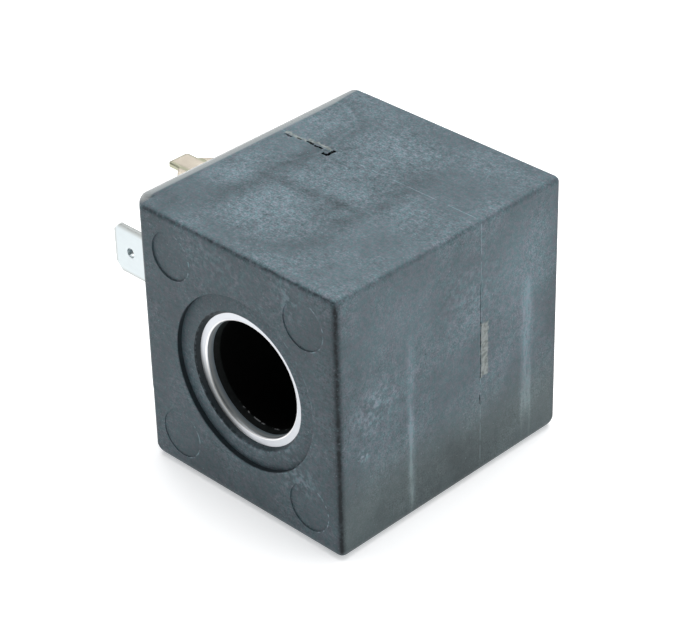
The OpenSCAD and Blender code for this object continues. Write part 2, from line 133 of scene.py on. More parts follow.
def emboss(shader, height, depth):
    """Raises the surface by a pattern."""
    bump = add(height.id_data, "Bump", Height=height, Distance=depth)
    feed(shader["Normal"], bump.outputs["Normal"])


def new_finish(name):
    """A material, its shader's sockets and the object's coordinates in millimetres."""
    finish = bpy.data.materials.new(name)
    finish.use_nodes = True
    tree = finish.node_tree
    place = add(tree, "TexCoord").outputs["Object"]
    in_mm = add(tree, "VectorMath", {"operation": "SCALE"}, Vector=place, Scale=1 / mm)
    return finish, tree.nodes["Principled BSDF"].inputs, in_mm.outputs["Vector"]


def dress(finish, *nodes):
    """Gives CAD nodes a finish."""
    for node in nodes:
        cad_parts[node].material_slots[0].material = finish


black_nylon, shader, place = new_finish("black_nylon")
axes = axes_of(place)
along = compute("ABSOLUTE", axes["Y"])
grain = noise(place, 2.2)
# Painted shade: further into the bore than its end, the tube is painted near black.
in_light = ease(along, bore_end / mm - 0.15, bore_end / mm + 0.1)
nylon = mix(in_light, bore_shade_black, mix(grain, nylon_dark, nylon_light))
# Painted highlight: pale specks low on the tube's end stand for a glint there.
on_edge = ease(away(along, bore_end / mm), 0.12, 0.04)
painted_glint = times(on_edge, ease(axes["Z"], -5.2, -6.2), ease(grain, 0.5, 0.62))
feed(shader["Base Color"], mix(painted_glint, nylon, glint_grey))
feed(shader["Roughness"], between(grain, 0.45, 0.65))
shader["Specular IOR Level"].default_value = 0.12
emboss(shader, grain, 0.012 * mm)
dress(black_nylon, "bobbin")


# The winding is enamelled copper wire in close layers, with a turn about every third of a millimetre.
# Its two ends are the leads, which leave for the mains terminals.
copper_dark = (0.42, 0.13, 0.05, 1)
copper_light = (0.7, 0.29, 0.12, 1)


def ribs(place, direction, scale):
    """Even ribs across a direction, about three per millimetre at a scale of 1."""
    wave = add(place.id_data, "TexWave", {"bands_direction": direction}, Vector=place, Scale=scale)
    return wave.outputs["Fac"]


enamel, shader, place = new_finish("enamelled_copper")
turns = ribs(place, "Y", 1.0)
mottle = noise(place, 0.6)
feed(shader["Base Color"], mix(mottle, copper_dark, copper_light))
feed(shader["Roughness"], between(mottle, 0.22, 0.4))
shader["Metallic"].default_value = 1.0
shader["Coat Weight"].default_value = 0.5
emboss(shader, turns, 0.06 * mm)
dress(enamel, "winding", "start_lead", "finish_lead")


# The wrap is amber polyester tape, wound over the finished coil and stuck to itself. A short strip
# of the same tape lies over the inner lead, between it and the turns that cross it.
amber_dark = (0.5, 0.25, 0.03, 1)
amber_light = (0.72, 0.45, 0.1, 1)

tape, shader, place = new_finish("amber_tape")
wrinkles = noise(place, 0.9, detail=5.0)
feed(shader["Base Color"], mix(wrinkles, amber_dark, amber_light))
feed(shader["Roughness"], between(wrinkles, 0.18, 0.4))
shader["Coat Weight"].default_value = 0.4
emboss(shader, wrinkles, 0.05 * mm)
dress(tape, "winding_wrap", "start_strip")


# A braided glass sleeve keeps each lead off its neighbours, up to the bead of soft solder that joins the
# lead to its terminal's tang.
glass_shaded = (0.5, 0.47, 0.38, 1)
glass_pale = (0.82, 0.79, 0.7, 1)
solder_dull = (0.45, 0.46, 0.47, 1)
solder_bright = (0.72, 0.73, 0.74, 1)


def vector(operation, *values):
    """One step of arithmetic on vectors, as a vector, or as a number for a length or dot product."""
    outputs = step("VectorMath", operation, values).outputs
    return outputs["Value" if operation in ("LENGTH", "DOT_PRODUCT") else "Vector"]


def most(*values):
    """The largest of some numbers."""
    return functools.reduce(lambda largest, value: compute("MAXIMUM", largest, value), values)


def plated(name, dull, bright, spots_per_mm, gloss):
    """A metal finish that is mottled between a duller and a brighter colour."""
    finish, shader, place = new_finish(name)
    mottle = noise(place, spots_per_mm)
    feed(shader["Base Color"], mix(mottle, dull, bright))
    feed(shader["Roughness"], between(mottle, *gloss))
    shader["Metallic"].default_value = 1.0
    emboss(shader, mottle, 0.015 * mm)
    return finish


braid, shader, place = new_finish("glass_braid")
slants = ((1, 1, 1), (1, -1, 1))
weave = most(*[ribs(vector("MULTIPLY", place, slant), "DIAGONAL", 0.9) for slant in slants])
feed(shader["Base Color"], mix(weave, glass_shaded, glass_pale))
feed(shader["Roughness"], between(weave, 0.75, 0.5))
emboss(shader, weave, 0.04 * mm)
dress(braid, "start_sleeve", "finish_sleeve")

soft_solder = plated("soft_solder", solder_dull, solder_bright, 1.4, gloss=(0.45, 0.2))
dress(soft_solder, "start_solder", "finish_solder")


# The mains terminals are stamped from brass strip, coined thinner along their edges and tinned. Their
# stems are pressed through a nylon carrier that slides between the bobbin's lugs.
blade_w = 6.3 * mm
shoulder = 0.8 * mm
tang_w = 1.0 * mm
stem_inset = 1.15 * mm
tip_chamfer = 1.0 * mm
tip_hole_r = 0.6 * mm
tip_hole_in = 2.9 * mm
coin_w = 0.65 * mm
coin_t = 0.17 * mm
burr_r = 0.06 * mm
burr_steps = 2
hole_steps = 48
weld_gap = 0.0005 * mm
sharp_turn = math.radians(32)
rolled_out = (0.25, 6.0, 6.0)
tin_dull = (0.54, 0.59, 0.605, 1)
tin_bright = (0.65, 0.7, 0.71, 1)
tin_rim_shade = (0.44, 0.46, 0.45, 1)

terminal_lo, terminal_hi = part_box("line_terminal")
carrier_lo, carrier_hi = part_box("terminal_carrier")
blade_t = terminal_hi.y - terminal_lo.y
tip_x = terminal_lo.x
half_w = blade_w / 2
mains_z = terminal_hi.z - shoulder - half_w


def block(low, high):
    """A closed box between two corners."""
    shape = bmesh.new()
    middle = Matrix.Translation((Vector(high) + Vector(low)) / 2)
    size = Matrix.Diagonal((*(Vector(high) - Vector(low)), 1.0))
    bmesh.ops.create_cube(shape, size=1.0, matrix=middle @ size)
    return shape


def rod(start, end, radius, segments=hole_steps):
    """A closed round bar between two points."""
    shape = bmesh.new()
    run = Vector(end) - Vector(start)
    turn = run.to_track_quat("Z", "Y").to_matrix().to_4x4()
    bmesh.ops.create_cone(
        shape, cap_ends=True, segments=segments, radius1=radius, radius2=radius, depth=run.length,
        matrix=Matrix.Translation(Vector(start) + run / 2) @ turn,
    )
    return shape


def clear_inside(shape):
    """Takes away faces left across the inside of a shape."""
    across = [face for face in shape.faces if all(len(edge.link_faces) > 2 for edge in face.edges)]
    bmesh.ops.delete(shape, geom=across, context="FACES_ONLY")


def extend(shape, face, move=(0, 0, 0), spread=(1, 1, 1)):
    """Extrudes a face, spreads it about its middle, moves it and returns the new end."""
    made = bmesh.ops.extrude_face_region(shape, geom=[face])["geom"]
    end = next(item for item in made if isinstance(item, bmesh.types.BMFace))
    clear_inside(shape)
    to_middle = Matrix.Translation(-end.calc_center_median())
    bmesh.ops.scale(shape, vec=spread, space=to_middle, verts=end.verts)
    bmesh.ops.translate(shape, vec=move, verts=end.verts)
    return end


def stamped_blade(outline, coin):
    """A flat blade lying in XY, from half its outline, coined thinner along its edges."""
    shape = bmesh.new()
    points = outline + [(x, -across) for x, across in reversed(outline)]
    blank = shape.faces.new([shape.verts.new((x, across, -blade_t / 2)) for x, across in points])
    extend(shape, blank, move=(0, 0, blade_t))
    bmesh.ops.recalc_face_normals(shape, faces=shape.faces[:])
    flats = [face for face in shape.faces if abs(face.normal.z) > 0.5]
    bmesh.ops.inset_region(shape, faces=flats, thickness=coin, use_boundary=True, use_even_offset=True)
    middles = {vert for face in flats for vert in face.verts}
    rims = [vert for vert in shape.verts if vert not in middles]
    bmesh.ops.scale(shape, vec=(1, 1, 1 - 2 * coin_t / blade_t), verts=rims)
    return shape


def as_object(name, shape):
    """Turns a bmesh into an object in the scene."""
    mesh = bpy.data.meshes.new(name)
    shape.to_mesh(mesh)
    shape.free()
    made = bpy.data.objects.new(name, mesh)
    bpy.context.scene.collection.objects.link(made)
    return made


def worked(blank, *helpers):
    """The shape of an object with its modifiers applied, after which it and its helpers are removed."""
    shape = bmesh.new()
    shape.from_object(blank, bpy.context.evaluated_depsgraph_get())
    for done in (blank, *helpers):
        bpy.data.meshes.remove(done.data)
    bmesh.ops.remove_doubles(shape, verts=shape.verts[:], dist=weld_gap)
    return shape


def carve(shape, tool, operation="DIFFERENCE"):
    """Cuts a tool out of a shape, or joins it on."""
    blank = as_object("blank", shape)
    cutter = as_object("cutter", tool)
    cut = blank.modifiers.new("cut", "BOOLEAN")
    cut.operation = operation
    cut.solver = "EXACT"
    cut.object = cutter
    return worked(blank, cutter)


def deburr(shape):
    """Takes the sharpness off a stamping's edges."""
    sharp = [edge for edge in shape.edges if edge.is_manifold and edge.calc_face_angle() > sharp_turn]
    bmesh.ops.bevel(
        shape, geom=sharp, offset=burr_r, affect="EDGES", segments=burr_steps, profile=0.5, material=-1,
        clamp_overlap=True,
    )


def finish_piece(name, shape, finish, slot, *stands_for):
    """Makes a bmesh a piece of the object, smooth between its sharp edges."""
    bmesh.ops.recalc_face_normals(shape, faces=shape.faces[:])
    for face in shape.faces:
        face.smooth = True
    for edge in shape.edges:
        edge.smooth = edge.is_manifold and edge.calc_face_angle() < sharp_turn
    piece = as_object(name, shape)
    piece.data.materials.append(finish)
    shading = piece.modifiers.new("shading", "WEIGHTED_NORMAL")
    shading.keep_sharp = True
    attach(piece, "root")
    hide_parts(*stands_for)


def mains_terminal(node):
    """A whole mains terminal: blade, shoulders with the wire tang below them, stem and locating hole."""
    low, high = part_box(node)
    tang_x = carrier_lo.x - tang_w
    root_x = tang_x + tang_w / 2
    outline = [(root_x, half_w), (tip_x + tip_chamfer, half_w), (tip_x, half_w - tip_chamfer)]
    shape = stamped_blade(outline, coin_w)
    to_place = Matrix.Translation((0, (low.y + high.y) / 2, mains_z))
    on_edge = Matrix.Rotation(math.pi / 2, 4, "X")
    bmesh.ops.transform(shape, matrix=to_place @ on_edge, verts=shape.verts)
    bmesh.ops.recalc_face_normals(shape, faces=shape.faces[:])
    shoulders = block((tang_x, low.y, low.z), (carrier_lo.x, high.y, high.z))
    stem_half = half_w - stem_inset
    stem = block((root_x, low.y, mains_z - stem_half), (carrier_hi.x, high.y, mains_z + stem_half))
    hole_x = tip_x + tip_hole_in
    hole = rod((hole_x, low.y - blade_t, mains_z), (hole_x, high.y + blade_t, mains_z), tip_hole_r)
    shape = carve(shape, shoulders, "UNION")
    shape = carve(shape, stem, "UNION")
    shape = carve(shape, hole)
    deburr(shape)
    return shape


def plus(*amounts):
    """The sum of some amounts."""
    return functools.reduce(lambda total, amount: compute("ADD", total, amount), amounts)


def least(*values):
    """The smallest of some numbers."""
    return functools.reduce(lambda smallest, value: compute("MINIMUM", smallest, value), values)


def rolled_strip(name, dull, bright, rim_shade, axis, middle, half):
    """A finish for strip metal: fine rolling lines along it, handling stains and a rim darkened by painted
    shade.
    """
    finish, shader, place = new_finish(name)
    axes = axes_of(place)
    to_side = compute("SUBTRACT", half / mm, away(axes[axis], middle / mm))
    to_tip = compute("SUBTRACT", axes["X"], tip_x / mm)
    to_edge = least(to_side, to_tip)
    # Painted shade: a darker band along the coined edges outlines the blade.
    on_shaded_rim = times(ease(to_edge, coin_w / mm, 0.15), ease(to_edge, -0.2, 0.0))
    lines = noise(vector("MULTIPLY", place, rolled_out), 1.0)
    stains = noise(place, 0.5)
    feed(shader["Base Color"], mix(on_shaded_rim, mix(stains, dull, bright), rim_shade))
    feed(shader["Roughness"], plus(between(lines, 0.25, 0.4), between(stains, 0.0, 0.2)))
    shader["Metallic"].default_value = 1.0
    emboss(shader, lines, 0.006 * mm)
    return finish


tinned = rolled_strip("tinned_brass", tin_dull, tin_bright, tin_rim_shade, "Z", mains_z, half_w)
finish_piece("line_blade", mains_terminal("line_terminal"), tinned, "tinned_blade", "line_terminal")
finish_piece("neutral_blade", mains_terminal("neutral_terminal"), tinned, "tinned_blade", "neutral_terminal")
dress(black_nylon, "terminal_carrier")


# The earth terminal is a plain brass blade with a narrow nose, cranked up behind the boss and along under
# the yoke's top web. A steel rivet clamps its foot there.
nose_half = 1.55 * mm
nose_l = 1.8 * mm
nose_chamfer = 0.3 * mm
earth_hole_in = 4.2 * mm
earth_coin_w = 0.4 * mm
foot_inset = 0.65 * mm
inner_bend_r = 0.3 * mm
bend_steps = 6
rivet_r = 0.8 * mm
brass_dull = (0.52, 0.46, 0.38, 1)
brass_bright = (0.7, 0.64, 0.55, 1)
brass_rim_shade = (0.42, 0.42, 0.31, 1)

earth_lo, earth_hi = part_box("earth_terminal")
rivet_lo, rivet_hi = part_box("earth_rivet")
rivet_x = (rivet_lo.x + rivet_hi.x) / 2
riser_x = carrier_hi.x - blade_t
lower_bend = Vector((riser_x - inner_bend_r, 0, earth_lo.z + blade_t + inner_bend_r))
upper_bend = Vector((riser_x + blade_t + inner_bend_r, 0, earth_hi.z - blade_t - inner_bend_r))


def face_towards(shape, direction):
    """The face that lies furthest in a direction."""
    return max(shape.faces, key=lambda face: face.calc_center_median().dot(Vector(direction)))


earth = stamped_blade(
    [
        (lower_bend.x - inner_bend_r, half_w), (tip_x + nose_l + half_w - nose_half, half_w),
        (tip_x + nose_l, nose_half), (tip_x + nose_chamfer, nose_half), (tip_x, nose_half - nose_chamfer),
    ],
    earth_coin_w,
)
bmesh.ops.translate(earth, vec=(0, 0, earth_lo.z + blade_t / 2), verts=earth.verts)
full_thickness = (1, 1, blade_t / (blade_t - 2 * coin_t))
end = extend(earth, face_towards(earth, (1, 0, 0)), move=(inner_bend_r, 0, 0), spread=full_thickness)

# Each bend, with its axis and the straight run that follows it
cranks = (
    (lower_bend, (0, -1, 0), (0, 0, upper_bend.z - lower_bend.z)),
    (upper_bend, (0, 1, 0), (earth_hi.x - upper_bend.x, 0, 0)),
)
for centre, axis, run in cranks:
    bent = bmesh.ops.spin(earth, geom=[end], cent=centre, axis=axis, angle=math.pi / 2, steps=bend_steps)
    end = next(item for item in bent["geom_last"] if isinstance(item, bmesh.types.BMFace))
    clear_inside(earth)
    end = extend(earth, end, move=run)
foot = [vert for vert in earth.verts if vert.co.x > riser_x - weld_gap]
bmesh.ops.scale(earth, vec=(1, 1 - foot_inset / half_w, 1), verts=foot)
for x, radius in ((tip_x + earth_hole_in, tip_hole_r), (rivet_x, rivet_r)):
    earth = carve(earth, rod((x, 0, earth_lo.z - blade_t), (x, 0, earth_hi.z + blade_t), radius))
deburr(earth)

plain_brass = rolled_strip("plain_brass", brass_dull, brass_bright, brass_rim_shade, "Y", 0.0, nose_half)
finish_piece("earth_blade", earth, plain_brass, "brass_blade", "earth_terminal")


# The yoke carries the flux round the outside of the coil: a bracket bent from zinc-plated steel strip,
# closed at the rear by a plate that is staked on its tenons.
zinc_dull = (0.42, 0.43, 0.44, 1)
zinc_bright = (0.66, 0.67, 0.68, 1)

zinc_plate = plated("zinc_plate", zinc_dull, zinc_bright, 1.1, gloss=(0.5, 0.25))
dress(zinc_plate, "yoke_bracket", "rear_flux_plate", "earth_rivet")


# A turned steel ring is pressed into each end of the yoke, round the bobbin's neck. Its flat bright face lies
# at the bottom of the mouth and has a rounded inner edge, with a painted highlight round it. Its bore is
# rougher and less metallic, with painted shade deeper in, and painted shade darkens the face low on the left
# and outside.
ring_bore_r = 6.9 * mm
ring_edge_r = 0.3 * mm
ring_drop = 1.1 * mm
ring_land = 2.05 * mm
bare_r = 7.9 * mm
seat_r = 8.7 * mm
neck_seat_r = 7.35 * mm
face_cover = 1.8 * mm
yoke_t = 2.0 * mm
round_steps = 10
turn_steps = 160
polish_grey = (0.31, 0.34, 0.385, 1)
polish_bright = (0.48, 0.515, 0.565, 1)
shade_inner = (0.22, 0.24, 0.255, 1)
shade_outer = (0.06, 0.068, 0.08, 1)
shade_way = (-0.75, 0, -0.66)
crest_highlight = (0.92, 0.91, 0.9, 1)
crest_shaded = (0.34, 0.34, 0.33, 1)
bore_lit_grey = (0.52, 0.54, 0.53, 1)
bore_shaded_blue = (0.27, 0.33, 0.37, 1)

body_lo, body_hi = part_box("housing")


def turn_on_bore(points, rounded=0, radius=0.0):
    """Turns an outline of radii and places along the bore about its axis, with its first corners rounded."""
    shape = bmesh.new()
    corners = [shape.verts.new((out, along, 0)) for out, along in points]
    shape.faces.new(corners)
    if rounded:
        bmesh.ops.bevel(
            shape, geom=corners[:rounded], offset=radius, affect="VERTICES", segments=round_steps,
            profile=0.5, material=-1,
        )
        bmesh.ops.remove_doubles(shape, verts=shape.verts[:], dist=weld_gap)
    bmesh.ops.delete(shape, geom=shape.faces[:], context="FACES_ONLY")
    bmesh.ops.spin(
        shape, geom=shape.verts[:] + shape.edges[:], cent=(0, 0, 0), axis=(0, 1, 0), angle=2 * math.pi,
        steps=turn_steps, use_merge=True,
    )
    bmesh.ops.remove_doubles(shape, verts=shape.verts[:], dist=weld_gap)
    bmesh.ops.recalc_face_normals(shape, faces=shape.faces[:])
    return shape


def flux_ring(end_face, inwards):
    """A ring, from its section below an end face."""
    section = (
        (ring_bore_r, ring_drop), (seat_r, ring_drop), (seat_r, face_cover + yoke_t),
        (neck_seat_r, face_cover + yoke_t), (neck_seat_r, ring_land), (ring_bore_r, ring_land),
    )
    outline = [(out, end_face + inwards * drop) for out, drop in section]
    return turn_on_bore(outline, rounded=1, radius=ring_edge_r)


bright_steel, shader, place = new_finish("bright_steel")
along = compute("ABSOLUTE", axes_of(place)["Y"])
drop = compute("SUBTRACT", body_hi.y / mm, along)
out = vector("LENGTH", vector("MULTIPLY", place, (1, 0, 1)))
tool_lines = noise(add(place.id_data, "CombineXYZ", X=out, Y=along).outputs["Vector"], 9.0, detail=2.0)
handling = noise(place, 0.7, detail=4.0)

# Painted shade: the face and crest are darker low on the left, and the face towards its outer edge.
shaded_low_left = ease(compute("DIVIDE", vector("DOT_PRODUCT", place, shade_way), out), 0.66, 1.02)
polish = mix(handling, polish_grey, polish_bright)
shaded_face = mix(ease(out, bare_r / mm - 0.55, bare_r / mm), shade_inner, shade_outer)
in_bore = ease(drop, ring_drop / mm + 0.1, ring_drop / mm + 0.4)
# Painted shade: the bore darkens from grey to blue-grey deeper in.
bore_shading = mix(ease(drop, ring_drop / mm + 0.2, ring_land / mm - 0.05), bore_lit_grey, bore_shaded_blue)
# Painted highlight: a near white band round the rounded inner edge, reaching partly over the face.
on_crest_highlight = ease(away(drop, ring_drop / mm + 0.06), 0.08, 0.03)
crest_light_and_shade = mix(shaded_low_left, crest_highlight, crest_shaded)
steel = mix(in_bore, mix(shaded_low_left, polish, shaded_face), bore_shading)

gloss = plus(between(tool_lines, 0.24, 0.36), between(handling, 0.0, 0.1), times(in_bore, 0.2))
feed(shader["Base Color"], mix(on_crest_highlight, steel, crest_light_and_shade))
feed(shader["Roughness"], gloss)
feed(shader["Metallic"], between(in_bore, 1.0, 0.25))
emboss(shader, tool_lines, 0.006 * mm)

finish_piece("front_ring", flux_ring(body_lo.y, 1), bright_steel, "ring_steel", "front_flux_ring")
finish_piece("rear_ring", flux_ring(body_hi.y, -1), bright_steel, "ring_steel", "rear_flux_ring")


# The housing is moulded round the finished core in dark glass-filled thermoset: a block with softly rounded
# edges, a raised boss where the blades leave, four sunk ejector marks, and at each end of the bore a recess
# whose floor rises a little to the mouth above the ring.
boss_out = 2.6 * mm
boss_h = 28.0 * mm
boss_drop = 0.1 * mm
boss_r = 2.2 * mm
boss_end_r = 1.2 * mm
boss_root = 3.0 * mm
boss_near_gap = 2.1 * mm
boss_far_gap = 0.1 * mm
boss_taper = 1.3 * mm
boss_taper_l = 5.2 * mm
edge_r = 0.75 * mm
foot_r = 1.3 * mm
edge_steps = 6
recess_r = 10.5 * mm
recess_depth = 0.7 * mm
mouth_r = 8.2 * mm
mouth_depth = 0.52 * mm
lip = 0.08 * mm
flange_r = 11.8 * mm
mark_r = 2.9 * mm
mark_steps = 72
mark_inset = 4.9 * mm
mark_depths = (0.1 * mm, 0.2 * mm, 0.14 * mm, 0.12 * mm)
past = 1.0 * mm

left_x = body_lo.x + boss_out
right_x = body_hi.x
top_z = body_hi.z
front_y = body_lo.y
rear_y = body_hi.y
near_y = front_y + boss_near_gap
far_y = rear_y - boss_far_gap
boss_top = top_z - boss_drop


def soften(shape, radius, share):
    """Rounds each edge by its share of a radius."""
    layers = shape.edges.layers.float
    weight = layers.get("bevel_weight_edge") or layers.new("bevel_weight_edge")
    for edge in shape.edges:
        edge[weight] = share(edge)
    blank = as_object("blank", shape)
    bevel = blank.modifiers.new("bevel", "BEVEL")
    bevel.limit_method = "WEIGHT"
    bevel.width = radius
    bevel.segments = edge_steps
    return worked(blank)


def block_share(edge):
    """Rounds the edges round the bottom in full, and the others less."""
    return 1.0 if all(vert.co.z < 0 for vert in edge.verts) else edge_r / foot_r


def long_share(edge):
    """Rounds the boss's two long outer edges only."""
    first, last = (vert.co for vert in edge.verts)
    return float(max(first.x, last.x) < left_x and first.z == last.z)


def end_share(edge):
    """Rounds the edges at the boss's two ends only, and the far end's less."""
    for y, radius in ((near_y, boss_end_r), (far_y, edge_r)):
        if all(abs(vert.co.y - y) < weld_gap for vert in edge.verts):
            return radius / boss_end_r
    return 0.0


housing = soften(block((left_x, front_y, -top_z), (right_x, rear_y, top_z)), foot_r, block_share)

# The boss slopes off at its far end, where a wedge is cut away
boss = block((body_lo.x, near_y, boss_top - boss_h), (left_x + boss_root, far_y, boss_top))
boss = soften(boss, boss_r, long_share)
wedge = block(
    (body_lo.x - past, far_y - boss_taper_l, -top_z - past),
    (body_lo.x, far_y + boss_taper_l, top_z + past),
)
sloped = [vert for vert in wedge.verts if vert.co.y > far_y and vert.co.x > body_lo.x - past / 2]
bmesh.ops.translate(wedge, vec=(2 * boss_taper, 0, 0), verts=sloped)
boss = soften(carve(boss, wedge), boss_end_r, end_share)
housing = carve(housing, boss, "UNION")

# The space for the core: recess and mouth at each end, the flanges' room between them, and the yoke's block
yoke_lo, yoke_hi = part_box("yoke_bracket")
flange_y = yoke_hi.y - yoke_t
half_section = [
    (0, front_y - past), (recess_r + lip + past, front_y - past), (recess_r, front_y + lip),
    (recess_r, front_y + recess_depth), (mouth_r + lip, front_y + mouth_depth),
    (mouth_r, front_y + mouth_depth + lip), (bare_r, front_y + ring_drop), (seat_r, front_y + ring_drop),
    (seat_r, -flange_y), (flange_r, -flange_y),
]
other_half = [(out, -y) for out, y in reversed(half_section)]
housing = carve(housing, turn_on_bore(half_section + other_half))
housing = carve(housing, block(yoke_lo, yoke_hi))

mark_places = [
    (x, z)
    for x in (left_x + mark_inset, right_x - mark_inset)
    for z in (mark_inset - top_z, top_z - mark_inset)
]
for (x, z), depth in zip(mark_places, mark_depths):
    pin = rod((x, front_y - past, z), (x, front_y + depth, z), mark_r, segments=mark_steps)
    housing = carve(housing, pin)

# The mould's halves met at the parting plane, where a hair line runs round the outside
parting_y = 4.5 * mm
line_half = 0.05 * mm
line_depth = 0.02 * mm
shell = 2.0 * mm


def slice_across(shape, y):
    """Cuts a shape's faces along a plane across the bore."""
    everything = shape.verts[:] + shape.edges[:] + shape.faces[:]
    bmesh.ops.bisect_plane(shape, geom=everything, plane_co=(0, y, 0), plane_no=(0, 1, 0))


def on_outside(point):
    """Whether a point lies in the housing's outer shell, and not in the space for the core."""
    return point.x > right_x - shell or point.x < left_x + shell or abs(point.z) > top_z - shell


for shift in (-line_half, 0, line_half):
    slice_across(housing, parting_y + shift)
housing.normal_update()
on_line = [
    vert for vert in housing.verts if abs(vert.co.y - parting_y) < line_half / 2 and on_outside(vert.co)
]
for vert, inward in [(vert, -vert.normal) for vert in on_line]:
    vert.co += inward * line_depth

# Flash has torn out beside that line, on the top and on the right. Each tear has its corners, its cuts along
# each axis and how uneven they are, in millimetres.
tear_seed = 11
top_mm = top_z / mm
right_mm = right_x / mm
over_top = top_mm + 0.7
over_right = right_mm + 0.8
tears = (
    ((-14.7, 3.75, top_mm - 0.08), (-13.6, 4.05, over_top), (4, 0, 0), (0.05, 0.1, 0.02)),
    ((-13.0, 4.05, top_mm - 0.12), (-12.3, 4.3, over_top), (3, 0, 0), (0.05, 0.08, 0.03)),
    ((-11.7, 4.2, top_mm - 0.25), (-10.5, 4.48, over_top), (5, 0, 0), (0.05, 0.1, 0.05)),
    ((-10.35, 4.1, top_mm - 0.3), (-9.1, 4.46, over_top), (5, 0, 0), (0.05, 0.13, 0.06)),
    ((-8.5, 3.4, top_mm - 0.35), (-7.6, 3.8, over_top), (4, 0, 0), (0.05, 0.1, 0.05)),
    ((-8.0, 3.55, top_mm - 0.4), (-7.5, 4.95, over_top), (0, 6, 0), (0.1, 0.06, 0.05)),
    ((right_mm - 0.15, 4.4, -3.6), (over_right, 4.53, 3.7), (0, 0, 26), (0.03, 0.05, 0.08)),
    ((right_mm - 0.3, 4.38, 3.4), (over_right, 4.48, 8.6), (0, 0, 16), (0.02, 0.03, 0.08)),
    ((right_mm - 0.3, 4.36, -6.9), (over_right, 4.5, -5.7), (0, 0, 3), (0.02, 0.04, 0.08)),
)


def uneven_block(low, high, cuts, unevenness, chance):
    """A closed box in millimetres, broken into uneven facets."""
    shape = block(Vector(low) * mm, Vector(high) * mm)
    for axis, count in enumerate(cuts):
        lengthways = [
            edge for edge in shape.edges
            if abs(edge.verts[0].co[axis] - edge.verts[1].co[axis]) > 0.9 * edge.calc_length()
        ]
        if count:
            bmesh.ops.subdivide_edges(shape, edges=lengthways, cuts=count, use_grid_fill=True)
    for vert in shape.verts:
        vert.co += Vector([chance.uniform(-reach, reach) for reach in unevenness]) * mm
    return shape


breaks = random.Random(tear_seed)
for tear in tears:
    housing = carve(housing, uneven_block(*tear, breaks))

# Its finish starts from where a point lies: its depth below each pair of faces, the least of which is how far
# it is sunk and the middle one how far it is from an edge, and its distance from the bore's axis
moulded_black = (0.009, 0.013, 0.016, 1)
haze_green = (0.15, 0.242, 0.27, 1)
haze_grey = (0.205, 0.236, 0.278, 1)
haze_olive = (0.17, 0.215, 0.215, 1)
shred_gap_shade = (0.13, 0.15, 0.145, 1)
shred_light = (0.24, 0.265, 0.26, 1)
boss_reflection_inner = (0.29, 0.315, 0.32, 1)
boss_reflection_outer = (0.43, 0.445, 0.44, 1)
boss_grain = (0.2, 0.21, 0.22, 1)
left_mm = left_x / mm
front_mm = front_y / mm
rear_mm = rear_y / mm
recess_mm = recess_r / mm
mouth_mm = mouth_r / mm
lip_mm = lip / mm
floor_mm = recess_depth / mm
inset_mm = mark_inset / mm

moulding, shader, place = new_finish("moulded_plastic")
axes = axes_of(place)


def below_faces(axis, low, high):
    """Depth below the nearer of the two faces across an axis, in millimetres."""
    return compute("SUBTRACT", (high - low) / 2 / mm, away(axes[axis], (low + high) / 2 / mm))


def remaining(share):
    """What a share leaves of the whole."""
    return compute("SUBTRACT", 1.0, share)


gap_x = below_faces("X", left_x, right_x)
gap_y = below_faces("Y", front_y, rear_y)
gap_z = below_faces("Z", -top_z, top_z)
least_xy = least(gap_x, gap_y)
most_xy = most(gap_x, gap_y)
sunk = least(least_xy, gap_z)
edge_gap = most(least_xy, least(most_xy, gap_z))
off_axis = vector("LENGTH", vector("MULTIPLY", place, (1, 0, 1)))
on_top = ease(axes["Z"], top_mm - 0.2, top_mm - 0.1)
on_side = ease(axes["X"], right_mm - 0.5, right_mm - 0.1)
off_top = ease(gap_z, 0.2, 0.6)
on_right = times(on_side, off_top)
on_front = times(ease(axes["Y"], front_mm + 1.5, front_mm + 1.0), off_top, ease(gap_x, 0.2, 0.6))
off_boss = ease(axes["X"], left_mm + 0.3, left_mm + 1.5)

# The flat faces have weathered to a haze. Painted shade keeps the edges, the upright corners, the recess's
# wall, the tears and the mouth's wall dark, and a painted shadow line runs along the mouth's left edge.
ragged_noise = between(noise(place, 1.6, detail=4.0), -0.2, 1.8)
at_ends = between(ease(gap_y, 0.55, 0.15), 0.35, 1.0)
on_edge = times(ease(edge_gap, 0.65, 0.25), ease(gap_z, 0.06, 0.3), at_ends, off_boss, ragged_noise, 0.75)
upright_shade = times(ease(most_xy, 1.1, 0.1), ease(gap_z, 0.3, 1.0), 0.45)
on_mark = times(ease(gap_y, 0.3, 0.25), ease(off_axis, recess_mm + 0.25, recess_mm + 0.4))
# Painted shade on the recess's wall and in the tears and cracks.
hollow_shade = times(
    ease(sunk, 0.05, 0.1), ease(sunk, floor_mm - 0.01, floor_mm - 0.06), ease(edge_gap, 0.9, 1.2),
    ease(off_axis, recess_mm - 0.2, recess_mm - 0.05), remaining(on_mark),
    between(ease(gap_y, 1.0, 0.8), 1.0, 0.85),
)
left_of_bore = ease(axes["X"], 1.0, -5.0)
# Painted shadow along the mouth's edge, left of the bore, and painted shade on the mouth's wall.
to_line = plus(away(off_axis, mouth_mm + lip_mm), between(ragged_noise, -0.08, 0.12))
mouth_shadow_line = times(ease(to_line, 0.2, 0.1), ease(gap_y, 0.35, 0.4), left_of_bore, 0.9)
mouth_wall_shade = times(
    ease(off_axis, mouth_mm + 0.04, mouth_mm - 0.04),
    ease(gap_y, mouth_depth / mm - 0.06, mouth_depth / mm),
    between(left_of_bore, 0.45, 0.9),
)
outside_painted_shade = remaining(least(plus(on_edge, upright_shade, hollow_shade, mouth_shadow_line, mouth_wall_shade), 1.0))


